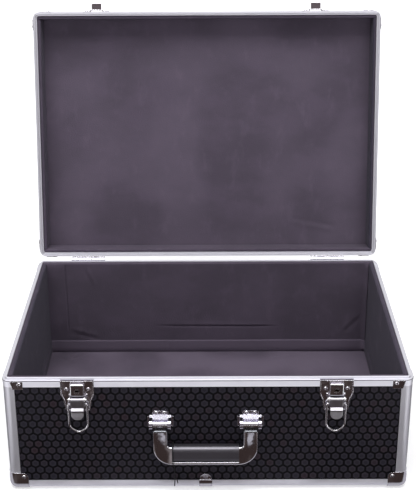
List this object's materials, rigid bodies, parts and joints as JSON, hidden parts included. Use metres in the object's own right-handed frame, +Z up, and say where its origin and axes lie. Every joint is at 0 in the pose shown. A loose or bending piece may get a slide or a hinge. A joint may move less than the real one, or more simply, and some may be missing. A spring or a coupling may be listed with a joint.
{
  "type": "flight case",
  "caption": "Open flight case with hexagon-pattern panels in rounded aluminium extrusions, chrome corners, draw latches with locks, a folding handle and a soft dark lining.",
  "frame": {"origin": "on the surface that the case stands on, under the middle of the open case's box", "axes": "+X to the right seen from the latches, +Y from the latches to the hinges, +Z up"},
  "size_m": [0.5038, 0.5101, 0.5211],
  "materials": {
    "panel": "hexagon pattern",
    "extrusion": "satin anodised",
    "chrome": "polished",
    "rivet": "polished",
    "pin": "bright",
    "plug": "bright",
    "grip": "satin",
    "lining": "brushed nap",
    "string": "matt"
  },
  "bodies": {
    "base": {"base_bottom_edges": "extrusion", "base_corner_caps": "chrome", "base_corner_posts": "extrusion", "base_floor_lining": "lining", "base_floor_panel": "panel", "base_front_lining": "lining", "base_front_panel": "panel", "base_left_lining": "lining", "base_left_panel": "panel", "base_rear_lining": "lining", "base_rear_panel": "panel", "base_right_lining": "lining", "base_right_panel": "panel", "base_rim_brackets": "chrome", "base_rim_corners": "extrusion", "base_rims": "extrusion", "base_rivets": "rivet", "bottom_edge_clip": "chrome", "handle_bracket_left": "chrome", "handle_bracket_right": "chrome", "handle_pins": "pin", "hinge_base_leaf_left": "chrome", "hinge_base_leaf_right": "chrome", "hinge_pins": "pin", "latch_pins": "pin", "latch_plate_left": "chrome", "latch_plate_right": "chrome"},
    "lid": {"hinge_lid_leaf_left": "chrome", "hinge_lid_leaf_right": "chrome", "latch_keeper_left": "chrome", "latch_keeper_right": "chrome", "lid_corner_caps": "chrome", "lid_corner_posts": "extrusion", "lid_front_lining": "lining", "lid_front_panel": "panel", "lid_left_lining": "lining", "lid_left_panel": "panel", "lid_rear_lining": "lining", "lid_rear_panel": "panel", "lid_right_lining": "lining", "lid_right_panel": "panel", "lid_rim_brackets": "chrome", "lid_rim_corners": "extrusion", "lid_rims": "extrusion", "lid_rivets": "rivet", "lid_top_edges": "extrusion", "lid_top_lining": "lining", "lid_top_panel": "panel"},
    "lever_left": {"latch_lever_left": "chrome"},
    "bail_left": {"latch_bail_left": "chrome"},
    "plug_left": {"lock_plug_left": "plug"},
    "lever_right": {"latch_lever_right": "chrome"},
    "bail_right": {"latch_bail_right": "chrome"},
    "plug_right": {"lock_plug_right": "plug"},
    "handle": {"handle_frame": "chrome", "handle_grip": "grip", "string_loop": "string"},
    "string": {"string_knot": "string", "tie_string": "string"}
  },
  "joints": [
    {"name": "lid_hinge", "type": "hinge", "parent": "base", "child": "lid", "pos_m": [0, 0.1249, 0.1574], "axis": [1, 0, 0], "range_deg": [0, 103]},
    {"name": "lever_swing_left", "type": "hinge", "parent": "base", "child": "lever_left", "pos_m": [-0.1585, -0.2443, 0.1341], "axis": [-1, 0, 0], "range_deg": [0, 85]},
    {"name": "bail_swing_left", "type": "hinge", "parent": "lever_left", "child": "bail_left", "pos_m": [-0.1585, -0.2418, 0.1271], "axis": [-1, 0, 0], "range_deg": [0, 107]},
    {"name": "key_turn_left", "type": "hinge", "parent": "base", "child": "plug_left", "pos_m": [-0.1585, -0.2428, 0.1459], "axis": [0, 1, 0], "range_deg": [0, 90]},
    {"name": "lever_swing_right", "type": "hinge", "parent": "base", "child": "lever_right", "pos_m": [0.1565, -0.2443, 0.1341], "axis": [-1, 0, 0], "range_deg": [0, 85]},
    {"name": "bail_swing_right", "type": "hinge", "parent": "lever_right", "child": "bail_right", "pos_m": [0.1565, -0.2418, 0.1271], "axis": [-1, 0, 0], "range_deg": [0, 107]},
    {"name": "key_turn_right", "type": "hinge", "parent": "base", "child": "plug_right", "pos_m": [0.1565, -0.2428, 0.1459], "axis": [0, 1, 0], "range_deg": [0, 90]},
    {"name": "handle_swing", "type": "hinge", "parent": "base", "child": "handle", "pos_m": [-0.003, -0.2463, 0.1008], "axis": [-1, 0, 0], "range_deg": [0, 90]},
    {"name": "string_hang", "type": "hinge", "parent": "handle", "child": "string", "pos_m": [-0.003, -0.2463, 0.0445], "axis": [-1, 0, 0], "range_deg": [-90, 0]}
  ],
  "couplings": [
    {"joint": "string_hang", "follows": "handle_swing", "ratio": -1}
  ]
}
